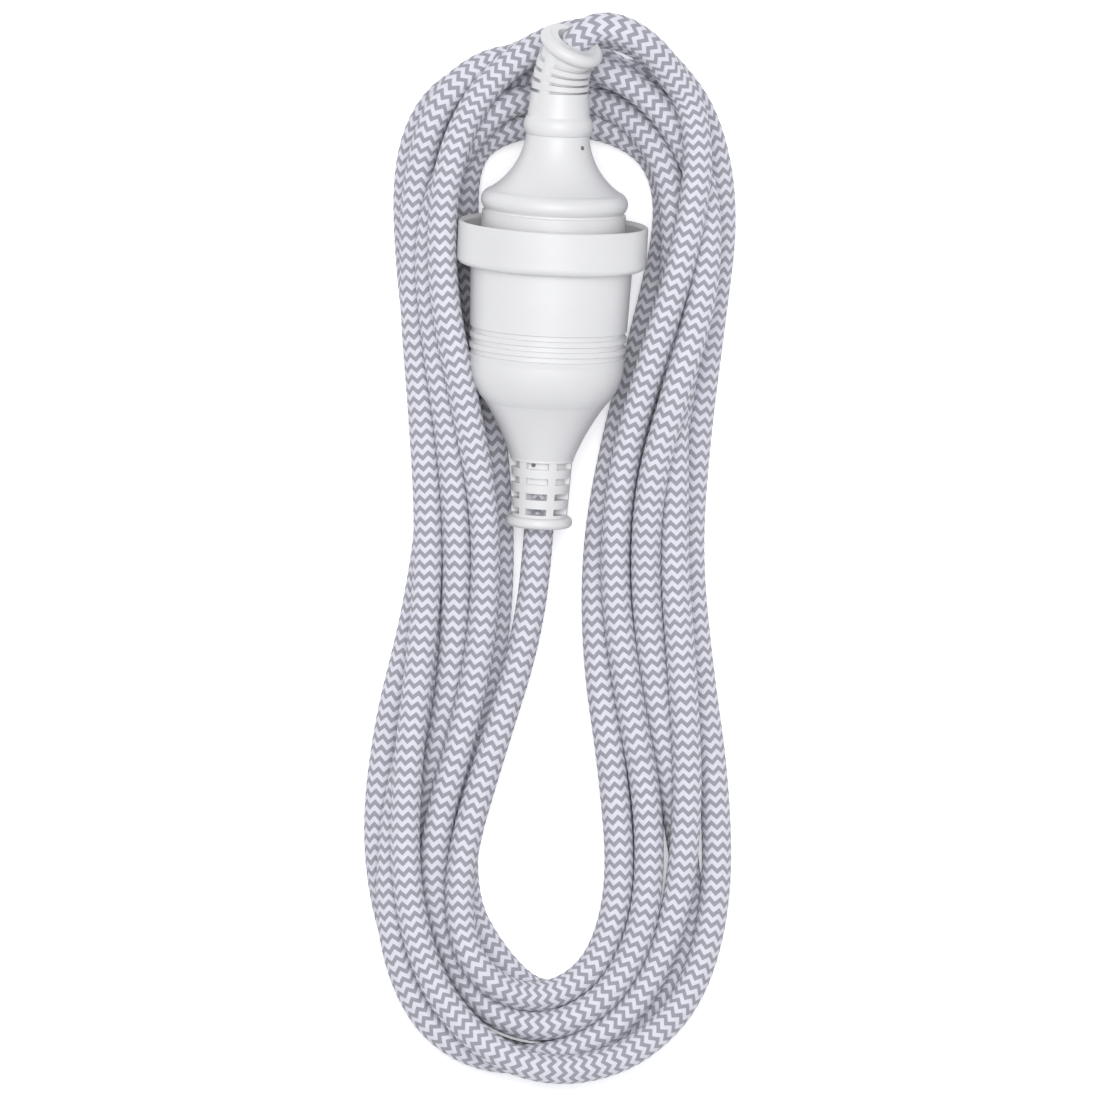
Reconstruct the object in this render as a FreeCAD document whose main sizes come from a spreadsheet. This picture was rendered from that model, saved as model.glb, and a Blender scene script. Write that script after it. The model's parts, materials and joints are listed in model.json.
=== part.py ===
import FreeCAD, Part
import math
import os
import Sketcher

# A moulded 10 A extension cord: a three-pin plug pushed into a shrouded socket, both on one
# braided lead that is folded into a loose hank. Millimetres, +Z up. The origin lies under the
# middle of the joined plug and socket, on the surface they lie on, and +Y runs from the
# socket towards the plug. Plug and socket are drawn about a mating axis of their own, their
# local Z, whose zero is the socket's face and whose positive end is the plug.

doc = FreeCAD.newDocument("extension_cord")
sheet = doc.addObject("Spreadsheet::Sheet", "Sizes")

DRIVING = {
    # how the joined pair lies
    "mating_y": 8.5, "collar_radius": 24.5, "pitch": 8.0, "plug_travel": 28.0, "face_gap": 0.2,
    # plug housing, from its face back to its neck
    "skirt_radius": 18.6, "skirt_end": 8.9, "groove_depth": 0.6, "groove_width": 0.7,
    "rim_arc": 3.0, "rim_back": 14.7, "rim_back_radius": 16.8, "flank_arc": 19.0,
    "neck_start": 29.3, "neck_radius": 8.25, "plug_spigot": 2.8,
    # plug boot
    "bead_end": 34.0, "bead_arc": 3.8, "sleeve_end": 40.2, "boot_radius": 7.4,
    "boot_bend": 33.7, "boot_bend_radius": 24.66, "boot_turn": 40.0, "boot_core": 5.9,
    "rib_pitch": 2.55, "rib_width": 1.7, "lip_start": 10.2, "lip_end": 14.5,
    "lip_radius": 8.6, "lip_round": 1.8, "boot_bore": 4.25, "mouth_bore": 4.6,
    "spine_radius": 2.0,
    # pins, to the 10 A pattern
    "pin_width": 6.35, "pin_thick": 1.63, "pin_length": 17.06, "earth_length": 19.9,
    "live_circle": 7.92, "earth_circle": 10.31, "live_angle": 30.0, "pin_root": 10.0,
    "sleeve_length": 9.5, "sleeve_wall": 0.4, "pin_chamfer": 0.45,
    "carrier_radius": 15.0, "carrier_back": 9.3,
    # socket
    "body_radius": 20.9, "body_end_radius": 20.35, "grip_start": 20.9, "grip_pitch": 2.75,
    "grip_width": 1.3, "grip_depth": 0.5, "grip_end": 29.5, "shoulder_arc": 16.1,
    "cone_start": 40.4, "cone_start_radius": 15.7, "cone_arc": 64.5, "cone_end": 54.8,
    "cone_end_radius": 8.2, "socket_wall": 2.4, "face_radius": 18.5, "face_thick": 4.0,
    "slot_width": 7.1, "slot_thick": 2.3, "back_plate_start": 23.6, "back_plate_thick": 2.6,
    "collar_front": 6.2, "collar_back": 5.0, "collar_wall": 1.2, "collar_web": 1.8,
    "collar_round": 1.8,
    # socket boot
    "tail_start": 55.3, "tail_radius": 7.9, "tail_end_radius": 7.2, "tail_lip": 69.9,
    "tail_end": 72.7, "tail_lip_radius": 8.6, "window_pitch": 4.0, "window_width": 1.7,
    "window_angle": 44.0, "window_turn": 98.0, "spigot_radius": 6.0, "spigot_length": 9.3,
    # contacts, cores and cord
    "contact_width": 5.6, "contact_leaf": 0.6, "contact_grip": 1.7, "contact_depth": 19.4,
    "earth_depth": 22.0, "crimp_radius": 1.9, "socket_crimp": 5.0, "plug_crimp": 3.5,
    "crimp_hold": 1.5, "core_radius": 1.25,
    "core_circle": 2.3, "cord_radius": 3.85, "cord_fit": 0.1, "spreader_thick": 3.0,
    # hank
    "two_layers": 14.2, "three_layers": 21.9, "under_plug": 9.0,
}


class Size:
    """A number and the expression on the sheet that it comes from."""

    def __init__(self, value, text):
        self.value = value
        self.text = text

    def joined(self, sign, other, value):
        return Size(value, f"({self.text} {sign} {size(other).text})")

    def __add__(self, other):
        return self.joined("+", other, self.value + size(other).value)

    def __sub__(self, other):
        return self.joined("-", other, self.value - size(other).value)

    def __mul__(self, other):
        return self.joined("*", other, self.value * size(other).value)

    def __truediv__(self, other):
        return self.joined("/", other, self.value / size(other).value)

    def __neg__(self):
        return Size(-self.value, f"(0 - {self.text})")

    def __float__(self):
        return float(self.value)


def size(number):
    """A Size as it is, and a bare number as a Size."""
    return number if isinstance(number, Size) else Size(float(number), repr(float(number)))


class Dimensions:
    """The driving dimensions, each read by its own name."""


dim = Dimensions()
for row, (alias, number) in enumerate(DRIVING.items(), start=1):
    sheet.set(f"A{row}", str(number))
    sheet.setAlias(f"A{row}", alias)
    setattr(dim, alias, Size(number, f"Sizes.{alias}"))
doc.recompute()

X_AXIS = FreeCAD.Vector(1, 0, 0)
Z_AXIS = FreeCAD.Vector(0, 0, 1)
PITCH = math.radians(float(dim.pitch))

# The rounded back edge of the collar rests on the surface, which sets the axis's height.
AXIS_HEIGHT = (
    float(dim.collar_radius - dim.collar_round) * math.cos(PITCH)
    + float(dim.collar_back - dim.collar_round) * math.sin(PITCH)
    + float(dim.collar_round)
)
MATED = FreeCAD.Placement(
    FreeCAD.Vector(0, float(dim.mating_y), AXIS_HEIGHT),
    FreeCAD.Rotation(X_AXIS, -90 + float(dim.pitch)),
)
PINS = {
    # name: angle round the mating axis seen from the plug's back, and distance from it
    "active": (180 + float(dim.live_angle), dim.live_circle),
    "neutral": (-float(dim.live_angle), dim.live_circle),
    "earth": (90.0, dim.earth_circle),
}
sub_parts = []


def keep(piece, placement=MATED):
    """Puts a finished sub-part in its place and lists it for writing out."""
    piece.Placement = placement
    sub_parts.append(piece)
    return piece


def turned(angle, out=0.0):
    """A place round the mating axis: an angle and a distance out."""
    spin = FreeCAD.Placement(FreeCAD.Vector(), FreeCAD.Rotation(Z_AXIS, angle))
    shift = FreeCAD.Placement(FreeCAD.Vector(float(out), 0, 0), FreeCAD.Rotation())
    return MATED.multiply(spin).multiply(shift)


# ---------------------------------------------------------------- sketches and features


def plane(body, role):
    return next(item for item in body.Origin.OriginFeatures if item.Role == role)


def new_body(label):
    body = doc.addObject("PartDesign::Body", label)
    body.Label = label
    return body


def new_sketch(body, name, role, lift=0.0):
    sketch = body.newObject("Sketcher::SketchObject", f"{body.Name}_{name}")
    sketch.AttachmentSupport = [(plane(body, role), "")]
    sketch.MapMode = "FlatFace"
    sketch.setExpression("AttachmentOffset.Base.z", size(lift).text)
    return sketch


def bind(sketch, kind, *references, to):
    """A constraint of the sketch whose number is an expression on the sheet."""
    if abs(to.value) < 1e-9 and kind in ("DistanceX", "DistanceY"):
        axis = -2 if kind == "DistanceX" else -1
        sketch.addConstraint(Sketcher.Constraint("PointOnObject", *references[2:], axis))
        return
    index = sketch.addConstraint(Sketcher.Constraint(kind, *references, to.value))
    sketch.setExpression(f"Constraints[{index}]", to.text)


def arc_between(start, end, radius):
    """The short arc from start to end: it turns left for a positive radius."""
    chord = end - start
    side = FreeCAD.Vector(-chord.y, chord.x, 0).normalize()
    bend = abs(radius)
    height = math.sqrt(bend ** 2 - (chord.Length / 2) ** 2)
    sign = 1 if radius > 0 else -1
    centre = (start + end) * 0.5 + side * (height * sign)
    middle = centre - side * (bend * sign)
    return Part.Arc(start, middle, end)


def draw_outline(sketch, corners):
    """A closed outline. A corner is (across, along) or, where an arc leads on from it,
    (across, along, radius)."""
    points = [FreeCAD.Vector(float(c[0]), float(c[1]), 0) for c in corners]
    first = sketch.GeometryCount
    ends = []
    for index, corner in enumerate(corners):
        start = points[index]
        end = points[(index + 1) % len(points)]
        if len(corner) == 3:
            geometry = sketch.addGeometry(arc_between(start, end, float(corner[2])))
            ends.append((1, 2) if float(corner[2]) > 0 else (2, 1))
            radius = corner[2] if float(corner[2]) > 0 else -corner[2]
            bind(sketch, "Radius", geometry, to=radius)
        else:
            sketch.addGeometry(Part.LineSegment(start, end))
            ends.append((1, 2))
    count = len(corners)
    for index, corner in enumerate(corners):
        here = first + index
        following = first + (index + 1) % count
        sketch.addConstraint(Sketcher.Constraint(
            "Coincident", here, ends[index][1], following, ends[(index + 1) % count][0]))
        bind(sketch, "DistanceX", -1, 1, here, ends[index][0], to=size(corner[0]))
        bind(sketch, "DistanceY", -1, 1, here, ends[index][0], to=size(corner[1]))


def draw_circle(sketch, across, along, radius):
    circle = sketch.addGeometry(Part.Circle(
        FreeCAD.Vector(float(across), float(along), 0), Z_AXIS, float(radius)))
    bind(sketch, "Radius", circle, to=size(radius))
    bind(sketch, "DistanceX", -1, 1, circle, 3, to=size(across))
    bind(sketch, "DistanceY", -1, 1, circle, 3, to=size(along))


def draw_rectangle(sketch, across, along, centre_across=0.0, centre_along=0.0):
    left = size(centre_across) - size(across) / 2
    right = size(centre_across) + size(across) / 2
    low = size(centre_along) - size(along) / 2
    high = size(centre_along) + size(along) / 2
    draw_outline(sketch, [(left, low), (right, low), (right, high), (left, high)])


def revolve(body, corners, name="profile"):
    """Turns an outline of (radius, distance along the axis) right round the axis."""
    sketch = new_sketch(body, name, "XZ_Plane")
    draw_outline(sketch, corners)
    turn = body.newObject("PartDesign::Revolution", f"{sketch.Name}_turn")
    turn.Profile = sketch
    turn.ReferenceAxis = (sketch, ["V_Axis"])
    turn.Angle = 360
    return turn


def pad(body, name, draw, start, length):
    """Raises what draw(sketch) draws, from one distance along the axis up to another."""
    sketch = new_sketch(body, name, "XY_Plane", start)
    draw(sketch)
    raised = body.newObject("PartDesign::Pad", f"{sketch.Name}_pad")
    raised.Profile = sketch
    raised.setExpression("Length", size(length).text)
    return raised


def pocket(body, name, draw, start, depth):
    """Cuts what draw(sketch) draws, from one distance along the axis down by a depth."""
    sketch = new_sketch(body, name, "XY_Plane", start)
    draw(sketch)
    doc.recompute()
    before = body.Shape.Volume
    cut = body.newObject("PartDesign::Pocket", f"{sketch.Name}_cut")
    cut.Profile = sketch
    cut.setExpression("Length", size(depth).text)
    doc.recompute()
    if not body.Shape.Volume < before - 0.01:
        raise RuntimeError(f"{cut.Name} cuts nothing")
    return cut


# ---------------------------------------------------------------- bent tubes and cords


def rounded_wire(points):
    """Straight runs joined by tangent arcs, each as large as its two runs allow."""
    edges = []
    radii = []
    here = points[0]
    for before, corner, after in zip(points, points[1:], points[2:]):
        into = (corner - before).normalize()
        out = (after - corner).normalize()
        half_turn = math.tan(into.getAngle(out) / 2)
        reach = 0.45 * min((corner - before).Length, (after - corner).Length)
        radius = reach / half_turn
        radii.append(radius)
        start = corner - into * reach
        end = corner + out * reach
        inward = (out - into).normalize()
        middle = corner + inward * (radius / math.cos(math.atan(half_turn)) - radius)
        edges.append(Part.LineSegment(here, start).toShape())
        edges.append(Part.Arc(start, middle, end).toShape())
        here = end
    edges.append(Part.LineSegment(here, points[-1]).toShape())
    return Part.Wire(edges), radii


def tube(label, points, radius, placement=FreeCAD.Placement()):
    """A round cord or wire along a route of hand-chosen points."""
    path, radii = rounded_wire(points)
    ring = Part.makeCircle(radius, points[0], points[1] - points[0])
    solid = path.makePipeShell([Part.Wire(ring)], True, False)
    expected = math.pi * radius ** 2 * path.Length
    if abs(solid.Volume - expected) > 0.01 * expected:
        raise RuntimeError(f"{label} has {solid.Volume:.0f} mm3, not {expected:.0f}")
    listed = ", ".join(f"{value:.1f}" for value in radii)
    print(f"{label}: {path.Length:.1f} mm along, bend radii {listed or 'none'}")
    piece = doc.addObject("Part::Feature", label)
    piece.Label = label
    piece.Shape = solid
    return keep(piece, placement)


# ---------------------------------------------------------------- plug


def plug_housing():
    body = new_body("plug_housing")
    face = dim.face_gap
    groove_radius = dim.skirt_radius - dim.groove_depth
    rim_start = dim.skirt_end + dim.groove_width + 0.3
    cavity = dim.carrier_radius + 0.05
    revolve(body, [
        (cavity, face),
        (dim.skirt_radius - 0.6, face),
        (dim.skirt_radius, face + 0.6),
        (dim.skirt_radius, dim.skirt_end),
        (groove_radius, dim.skirt_end + 0.3),
        (groove_radius, dim.skirt_end + dim.groove_width),
        (dim.skirt_radius - 0.3, rim_start, dim.rim_arc),
        (dim.rim_back_radius, dim.rim_back, -dim.flank_arc),
        (dim.neck_radius, dim.neck_start - 0.8),
        (dim.neck_radius, dim.neck_start),
        (dim.spigot_radius + 0.05, dim.neck_start),
        (dim.spigot_radius + 0.05, dim.neck_start - dim.plug_spigot),
        (cavity - 3.45, dim.rim_back + 2.9),
        (cavity - 2.05, dim.rim_back + 0.9),
        (cavity - 1.2, dim.carrier_back + 0.6),
        (cavity, dim.carrier_back + 0.05),
    ])
    keep(body)


def boot_place(distance):
    """The place on the plug boot's bent centreline at a distance past its sleeve. Its X points
    away from the centre of the bend, its Y along the boot and its Z along the bend's axis."""
    turn = math.radians(float(dim.boot_turn))
    inward = FreeCAD.Vector(math.cos(turn), -math.sin(turn), 0)
    outward = inward * -1
    frame = FreeCAD.Rotation(outward, Z_AXIS, outward.cross(Z_AXIS), "ZXY")
    centre = inward * float(dim.boot_bend_radius) + Z_AXIS * float(dim.sleeve_end)
    swing = math.degrees(distance / float(dim.boot_bend_radius))
    return FreeCAD.Placement(centre, frame).multiply(
        FreeCAD.Placement(FreeCAD.Vector(), FreeCAD.Rotation(Z_AXIS, swing)))


def bent_disc(name, start, end, radius, offset=0.0, lift=0.0):
    """A length of round bar that follows the plug boot's bend, set off from its centreline
    away from the centre of the bend and along the bend's axis."""
    bar = doc.addObject("Part::Torus", name)
    bar.setExpression("Radius1", (dim.boot_bend_radius + offset).text)
    bar.setExpression("Radius2", size(radius).text)
    length = size(end) - size(start)
    bar.setExpression("Angle3", (length / dim.boot_bend_radius * (180 / math.pi)).text)
    bar.Placement = boot_place(float(start)).multiply(
        FreeCAD.Placement(FreeCAD.Vector(0, 0, float(lift)), FreeCAD.Rotation()))
    return bar


def plug_boot():
    sleeve = new_body("plug_boot_sleeve")
    spigot_end = dim.neck_start - dim.plug_spigot
    bore = dim.cord_radius + dim.cord_fit
    revolve(sleeve, [
        (bore, spigot_end),
        (dim.spigot_radius, spigot_end),
        (dim.spigot_radius, dim.neck_start + 0.05),
        (dim.neck_radius, dim.neck_start + 0.05, dim.bead_arc),
        (dim.neck_radius - 0.2, dim.bead_end),
        (dim.boot_radius, dim.sleeve_end),
        (dim.boot_bore, dim.sleeve_end),
        (bore, dim.bead_end),
    ])
    solids = [sleeve, bent_disc("boot_core", 0, dim.lip_end - 1.5, dim.boot_core)]
    for index in range(3):
        start = dim.rib_pitch * index + 0.8
        radius = dim.boot_radius - 0.12 * index
        solids.append(bent_disc(f"boot_rib_{index}", start, start + dim.rib_width, radius))
    solids.append(bent_disc("boot_waist", dim.lip_start - 1.7, dim.lip_end - 2.0, 6.6))
    solids.append(bent_disc(
        "boot_spine", 0, dim.lip_start + 1.0, 1.6, dim.boot_core - 0.6))
    for side, lift in (("left", dim.boot_core - 0.6), ("right", dim.boot_core * -1 + 0.6)):
        solids.append(bent_disc(
            f"boot_{side}_spine", 0, dim.lip_start + 1.5, dim.spine_radius, 0.0, lift))
    flat_radius = dim.lip_radius - dim.lip_round
    lip_back = dim.lip_end - dim.lip_round * 2
    solids.append(bent_disc("boot_lip", lip_back, dim.lip_end, flat_radius))
    edge = doc.addObject("Part::Torus", "boot_lip_edge")
    edge.setExpression("Radius1", flat_radius.text)
    edge.setExpression("Radius2", dim.lip_round.text)
    middle = float(dim.lip_end - dim.lip_round)
    across = FreeCAD.Placement(
        FreeCAD.Vector(float(dim.boot_bend_radius), 0, 0), FreeCAD.Rotation(X_AXIS, 90))
    edge.Placement = boot_place(middle).multiply(across)
    solids.append(edge)
    whole = doc.addObject("Part::MultiFuse", "plug_boot_solid")
    whole.Shapes = solids
    bore_tools = [bent_disc("boot_bore", -1.0, dim.lip_end + 2.0, dim.boot_bore)]
    mouth = doc.addObject("Part::Cone", "boot_mouth")
    mouth.setExpression("Radius1", dim.boot_bore.text)
    mouth.setExpression("Radius2", dim.mouth_bore.text)
    mouth.Height = 6.0
    mouth.Placement = boot_place(float(dim.lip_end) - 4.0).multiply(FreeCAD.Placement(
        FreeCAD.Vector(float(dim.boot_bend_radius), 0, 0), FreeCAD.Rotation(X_AXIS, -90)))
    bore_tools.append(mouth)
    hollow = doc.addObject("Part::MultiFuse", "plug_boot_hollow")
    hollow.Shapes = bore_tools
    boot = doc.addObject("Part::Cut", "plug_boot")
    boot.Label = "plug_boot"
    boot.Base = whole
    boot.Tool = hollow
    keep(boot)


def plug_pin_carrier():
    body = new_body("plug_pin_carrier")
    length = dim.carrier_back - dim.face_gap
    pad(body, "disc", lambda sketch: draw_circle(sketch, 0, 0, dim.carrier_radius),
        dim.face_gap, length)
    for name, (angle, out) in PINS.items():
        turn = math.radians(angle)
        pocket(body, f"{name}_slot", lambda sketch: draw_slot(
            sketch, turn, out, dim.pin_thick + 0.04, dim.pin_width + 0.04),
            dim.carrier_back + 1, length + 2)
    keep(body)


def draw_slot(sketch, turn, out, thick, width):
    """A slot round the axis. Its wide side faces the axis at the live pins and runs
    towards it at the earth pin."""
    radial = abs(turn - math.pi / 2) < 0.01
    half_out = float(width if radial else thick) / 2
    half_side = float(thick if radial else width) / 2
    corners = []
    for step_out, step_side in ((-1, -1), (1, -1), (1, 1), (-1, 1)):
        reach = out + half_out * step_out
        across = reach * math.cos(turn) - half_side * step_side * math.sin(turn)
        along = reach * math.sin(turn) + half_side * step_side * math.cos(turn)
        corners.append((across, along))
    draw_outline(sketch, corners)


def slab(body, name, across, along, start, end, shift=0.0):
    """A block of the body between two distances along the axis."""
    return pad(body, name, lambda sketch: draw_rectangle(sketch, across, along, shift),
               start, size(end) - size(start))


def pin_place(name):
    """The place of a pin: its X is its thickness, its Y its width."""
    angle, out = PINS[name]
    place = turned(angle, out)
    if name == "earth":
        place = place.multiply(
            FreeCAD.Placement(FreeCAD.Vector(), FreeCAD.Rotation(Z_AXIS, 90)))
    return place


def chamfer_tip(body, tip, cut):
    """Breaks the edges of the pin's end face."""
    doc.recompute()
    last = body.Tip
    names = []
    for index, edge in enumerate(last.Shape.Edges, start=1):
        if all(abs(vertex.Z - tip) < 1e-6 for vertex in edge.Vertexes):
            names.append(f"Edge{index}")
    chamfer = body.newObject("PartDesign::Chamfer", f"{body.Name}_tip_edges")
    chamfer.Base = (last, names)
    chamfer.setExpression("Size", cut.text)


def plug_pin(name):
    body = new_body(f"{name}_pin")
    length = dim.earth_length if name == "earth" else dim.pin_length
    if name == "earth":
        slab(body, "blade", dim.pin_thick, dim.pin_width, -length, dim.pin_root)
    else:
        waist_thick = dim.pin_thick - dim.sleeve_wall * 2
        waist_width = dim.pin_width - dim.sleeve_wall * 2
        slab(body, "tip", dim.pin_thick, dim.pin_width, -length, -dim.sleeve_length)
        slab(body, "waist", waist_thick, waist_width, -dim.sleeve_length - 0.5, 0.5)
        slab(body, "root", dim.pin_thick, dim.pin_width, dim.face_gap, dim.pin_root)
    slab(body, "tail", dim.pin_thick, 2.2, dim.pin_root - 0.5, dim.pin_root + 2.0)
    chamfer_tip(body, -float(length), dim.pin_chamfer)
    keep(body, pin_place(name))


def pin_sleeve(name):
    body = new_body(f"{name}_pin_sleeve")
    inner_thick = dim.pin_thick - dim.sleeve_wall * 2
    inner_width = dim.pin_width - dim.sleeve_wall * 2

    def draw(sketch):
        draw_rectangle(sketch, dim.pin_thick, dim.pin_width)
        draw_rectangle(sketch, inner_thick, inner_width)

    pad(body, "wall", draw, -dim.sleeve_length, dim.sleeve_length + dim.face_gap)
    keep(body, pin_place(name))


def crimp(label, name, start, length):
    """The barrel that holds a core's end, round the same centre as its pin or contact."""
    body = new_body(label)

    def draw(sketch):
        draw_circle(sketch, 0, 0, dim.crimp_radius)
        draw_circle(sketch, 0, 0, dim.core_radius + 0.05)

    pad(body, "barrel", draw, start, length)
    keep(body, pin_place(name))


def core(label, name, start, straight, gather, end):
    """One insulated conductor, from inside its crimp, straight for a little, in towards the
    axis and on into the spreader. The four are distances along the axis."""
    angle, out = PINS[name]
    turn = math.radians(angle)
    outward = FreeCAD.Vector(math.cos(turn), math.sin(turn), 0)
    inner = outward * float(dim.core_circle)
    points = [
        outward * float(out) + Z_AXIS * float(start),
        outward * float(out) + Z_AXIS * float(straight),
        inner + Z_AXIS * gather,
        inner + Z_AXIS * end,
    ]
    tube(label, points, float(dim.core_radius), MATED)


def core_spreader(label, start):
    """The disc that the three cores pass through where the sheath ends."""
    body = new_body(label)
    pad(body, "disc", lambda sketch: draw_circle(
        sketch, 0, 0, dim.cord_radius + dim.cord_fit - 0.05), start, dim.spreader_thick)

    def draw_holes(sketch):
        for angle, _ in PINS.values():
            turn = math.radians(angle)
            draw_circle(sketch, dim.core_circle * math.cos(turn),
                        dim.core_circle * math.sin(turn), dim.core_radius + 0.02)

    pocket(body, "holes", draw_holes, size(start) + dim.spreader_thick + 1,
           dim.spreader_thick + 2)
    keep(body)


# ---------------------------------------------------------------- socket


def socket_housing():
    body = new_body("socket_housing")
    corners = [
        (dim.face_radius + 0.05, 0),
        (dim.face_radius + 0.05, -dim.face_thick),
        (dim.face_radius - 1.0, -dim.face_thick),
        (dim.face_radius - 1.0, -dim.grip_end - 0.5),
        (dim.cone_start_radius - dim.socket_wall, -dim.cone_start),
        (dim.spigot_radius + 0.05, -dim.cone_start - 5.6),
        (dim.spigot_radius + 0.05, -dim.tail_start),
        (dim.cone_end_radius, -dim.tail_start),
        (dim.cone_end_radius, -dim.cone_end, -dim.cone_arc),
        (dim.cone_start_radius, -dim.cone_start, dim.shoulder_arc),
        (dim.body_end_radius - 0.3, -dim.grip_end),
    ]
    for index in reversed(range(3)):
        top = dim.grip_start + dim.grip_pitch * index
        low = top + dim.grip_width
        corners.append((dim.body_end_radius, -low - 0.2))
        corners.append((dim.body_end_radius - dim.grip_depth, -low))
        corners.append((dim.body_end_radius - dim.grip_depth, -top - 0.2))
        corners.append((dim.body_end_radius, -top))
    corners.append((dim.body_radius, -dim.collar_back - 0.3))
    corners.append((dim.body_radius, -0.6))
    corners.append((dim.body_radius - 0.6, 0))
    revolve(body, corners)
    keep(body)


def collar_ring():
    """The shroud round the mating faces, a ring with a web at its back."""
    body = new_body("collar_ring")
    inner = dim.collar_radius - dim.collar_wall
    corner = dim.collar_round
    revolve(body, [
        (dim.body_radius + 0.05, -dim.collar_back),
        (dim.collar_radius - corner, -dim.collar_back, corner),
        (dim.collar_radius, -dim.collar_back + corner),
        (dim.collar_radius, dim.collar_front - 0.3),
        (dim.collar_radius - 0.3, dim.collar_front),
        (dim.collar_radius - 0.5, dim.collar_front),
        (inner, dim.collar_front - 1.0),
        (inner, -dim.collar_back + dim.collar_web),
        (dim.body_radius + 0.05, -dim.collar_back + dim.collar_web),
    ])
    keep(body)


def socket_face():
    body = new_body("socket_face")
    pad(body, "disc", lambda sketch: draw_circle(sketch, 0, 0, dim.face_radius),
        -dim.face_thick, dim.face_thick)
    for name, (angle, out) in PINS.items():
        turn = math.radians(angle)
        pocket(body, f"{name}_slot", lambda sketch: draw_slot(
            sketch, turn, out, dim.slot_thick, dim.slot_width), 1.0, dim.face_thick + 2)
    keep(body)


def contact(name):
    """Two sprung leaves either side of the pin, joined by a web that runs on as a tail."""
    body = new_body(f"{name}_contact")
    depth = dim.earth_depth if name == "earth" else dim.contact_depth
    front = -dim.face_thick - 0.1
    span = dim.contact_grip + dim.contact_leaf * 2
    offset = dim.contact_grip / 2 + dim.contact_leaf / 2
    slab(body, "web", span, dim.contact_width, -depth - dim.contact_leaf, -depth)
    slab(body, "leaf_inner", dim.contact_leaf, dim.contact_width, -depth - 0.2, front, -offset)
    slab(body, "leaf_outer", dim.contact_leaf, dim.contact_width, -depth - 0.2, front, offset)
    tail_end = dim.back_plate_start + dim.back_plate_thick + 1.5
    slab(body, "tail", 1.0, 2.2, -tail_end, -depth - 0.3)
    keep(body, pin_place(name))


def contact_plate():
    """The plate behind the contacts, with a hole for each tail."""
    body = new_body("contact_plate")
    start = -dim.back_plate_start - dim.back_plate_thick
    pad(body, "disc", lambda sketch: draw_circle(
        sketch, 0, 0, dim.face_radius - 1.1), start, dim.back_plate_thick)
    for name, (angle, out) in PINS.items():
        turn = math.radians(angle)
        pocket(body, f"{name}_hole", lambda sketch: draw_slot(
            sketch, turn, out, size(1.1), size(2.3)), -dim.back_plate_start + 1,
            dim.back_plate_thick + 2)
    keep(body)


def socket_boot():
    """The ribbed boot on the socket's tail: four rows of windows between six spines, the
    two rows next to the housing shallow and the two next to the lip open to the cord."""
    body = new_body("socket_boot")
    bore = dim.cord_radius + dim.cord_fit
    spigot_start = -dim.tail_start + dim.spigot_length
    revolve(body, [
        (bore, spigot_start),
        (bore, -dim.tail_end),
        (dim.tail_lip_radius - 1.2, -dim.tail_end, size(1.2)),
        (dim.tail_lip_radius, -dim.tail_end + 1.2),
        (dim.tail_lip_radius - 0.05, -dim.tail_lip - 1.1, size(1.1)),
        (dim.tail_lip_radius - 1.15, -dim.tail_lip),
        (dim.tail_end_radius, -dim.tail_lip),
        (dim.tail_radius, -dim.tail_start - 0.05),
        (dim.spigot_radius, -dim.tail_start - 0.05),
        (dim.spigot_radius, spigot_start),
    ])
    doc.recompute()
    before = body.Shape.Volume
    sketch = new_sketch(body, "windows", "XZ_Plane")
    for row in range(4):
        top = -dim.tail_start - 0.15 - dim.window_pitch * row
        depth = bore - 0.2 if row > 1 else dim.tail_radius - 1.3
        outer = dim.tail_radius + 1.0
        low = top - dim.window_width
        draw_outline(sketch, [(depth, low), (outer, low), (outer, top), (depth, top)])
    groove = body.newObject("PartDesign::Groove", "socket_boot_windows_cut")
    groove.Profile = sketch
    groove.ReferenceAxis = (sketch, ["V_Axis"])
    groove.Midplane = True
    groove.setExpression("Angle", dim.window_angle.text)
    pattern = body.newObject("PartDesign::PolarPattern", "socket_boot_windows_round")
    pattern.Originals = [groove]
    pattern.Axis = (sketch, ["V_Axis"])
    pattern.Angle = 360
    pattern.Occurrences = 6
    body.Tip = pattern
    doc.recompute()
    print(f"socket_boot windows take {before - body.Shape.Volume:.0f} mm3")
    if not body.Shape.Volume < before - 100:
        raise RuntimeError("the windows are not cut all round")
    keep(body, turned(-float(dim.window_turn)))


# ---------------------------------------------------------------- cord and hank


def sheath_end(label, start, end):
    """The end of the lead's braided sheath, held inside the boot."""
    body = new_body(label)
    pad(body, "sheath", lambda sketch: draw_circle(sketch, 0, 0, dim.cord_radius),
        start, size(end) - size(start))
    keep(body)


def on_axis(along):
    """A point on the mating axis, in the object's own frame."""
    return MATED.multVec(Z_AXIS * along)


# The lead from the socket: out of its boot, down towards the surface and into the hank.
SOCKET_LEAD_START = -58.0
SOCKET_LEAD_BENDS = [(-0.3, -80.6, 12.2), (-2.6, -97.0, 11.0)]

# The lead from the plug: out of its bent boot, over to the right and down onto the hank.
PLUG_LEAD_START = 38.0
PLUG_LEAD_BENDS = [
    (4.9, 64.4, 36.6), (12.6, 66.7, 38.3), (21.6, 63.2, 37.4), (29.6, 55.2, 33.2),
    (35.3, 42.5, 24.2), (37.2, 31.5, 18.3), (37.2, 20.5, 18.3),
]

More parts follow.
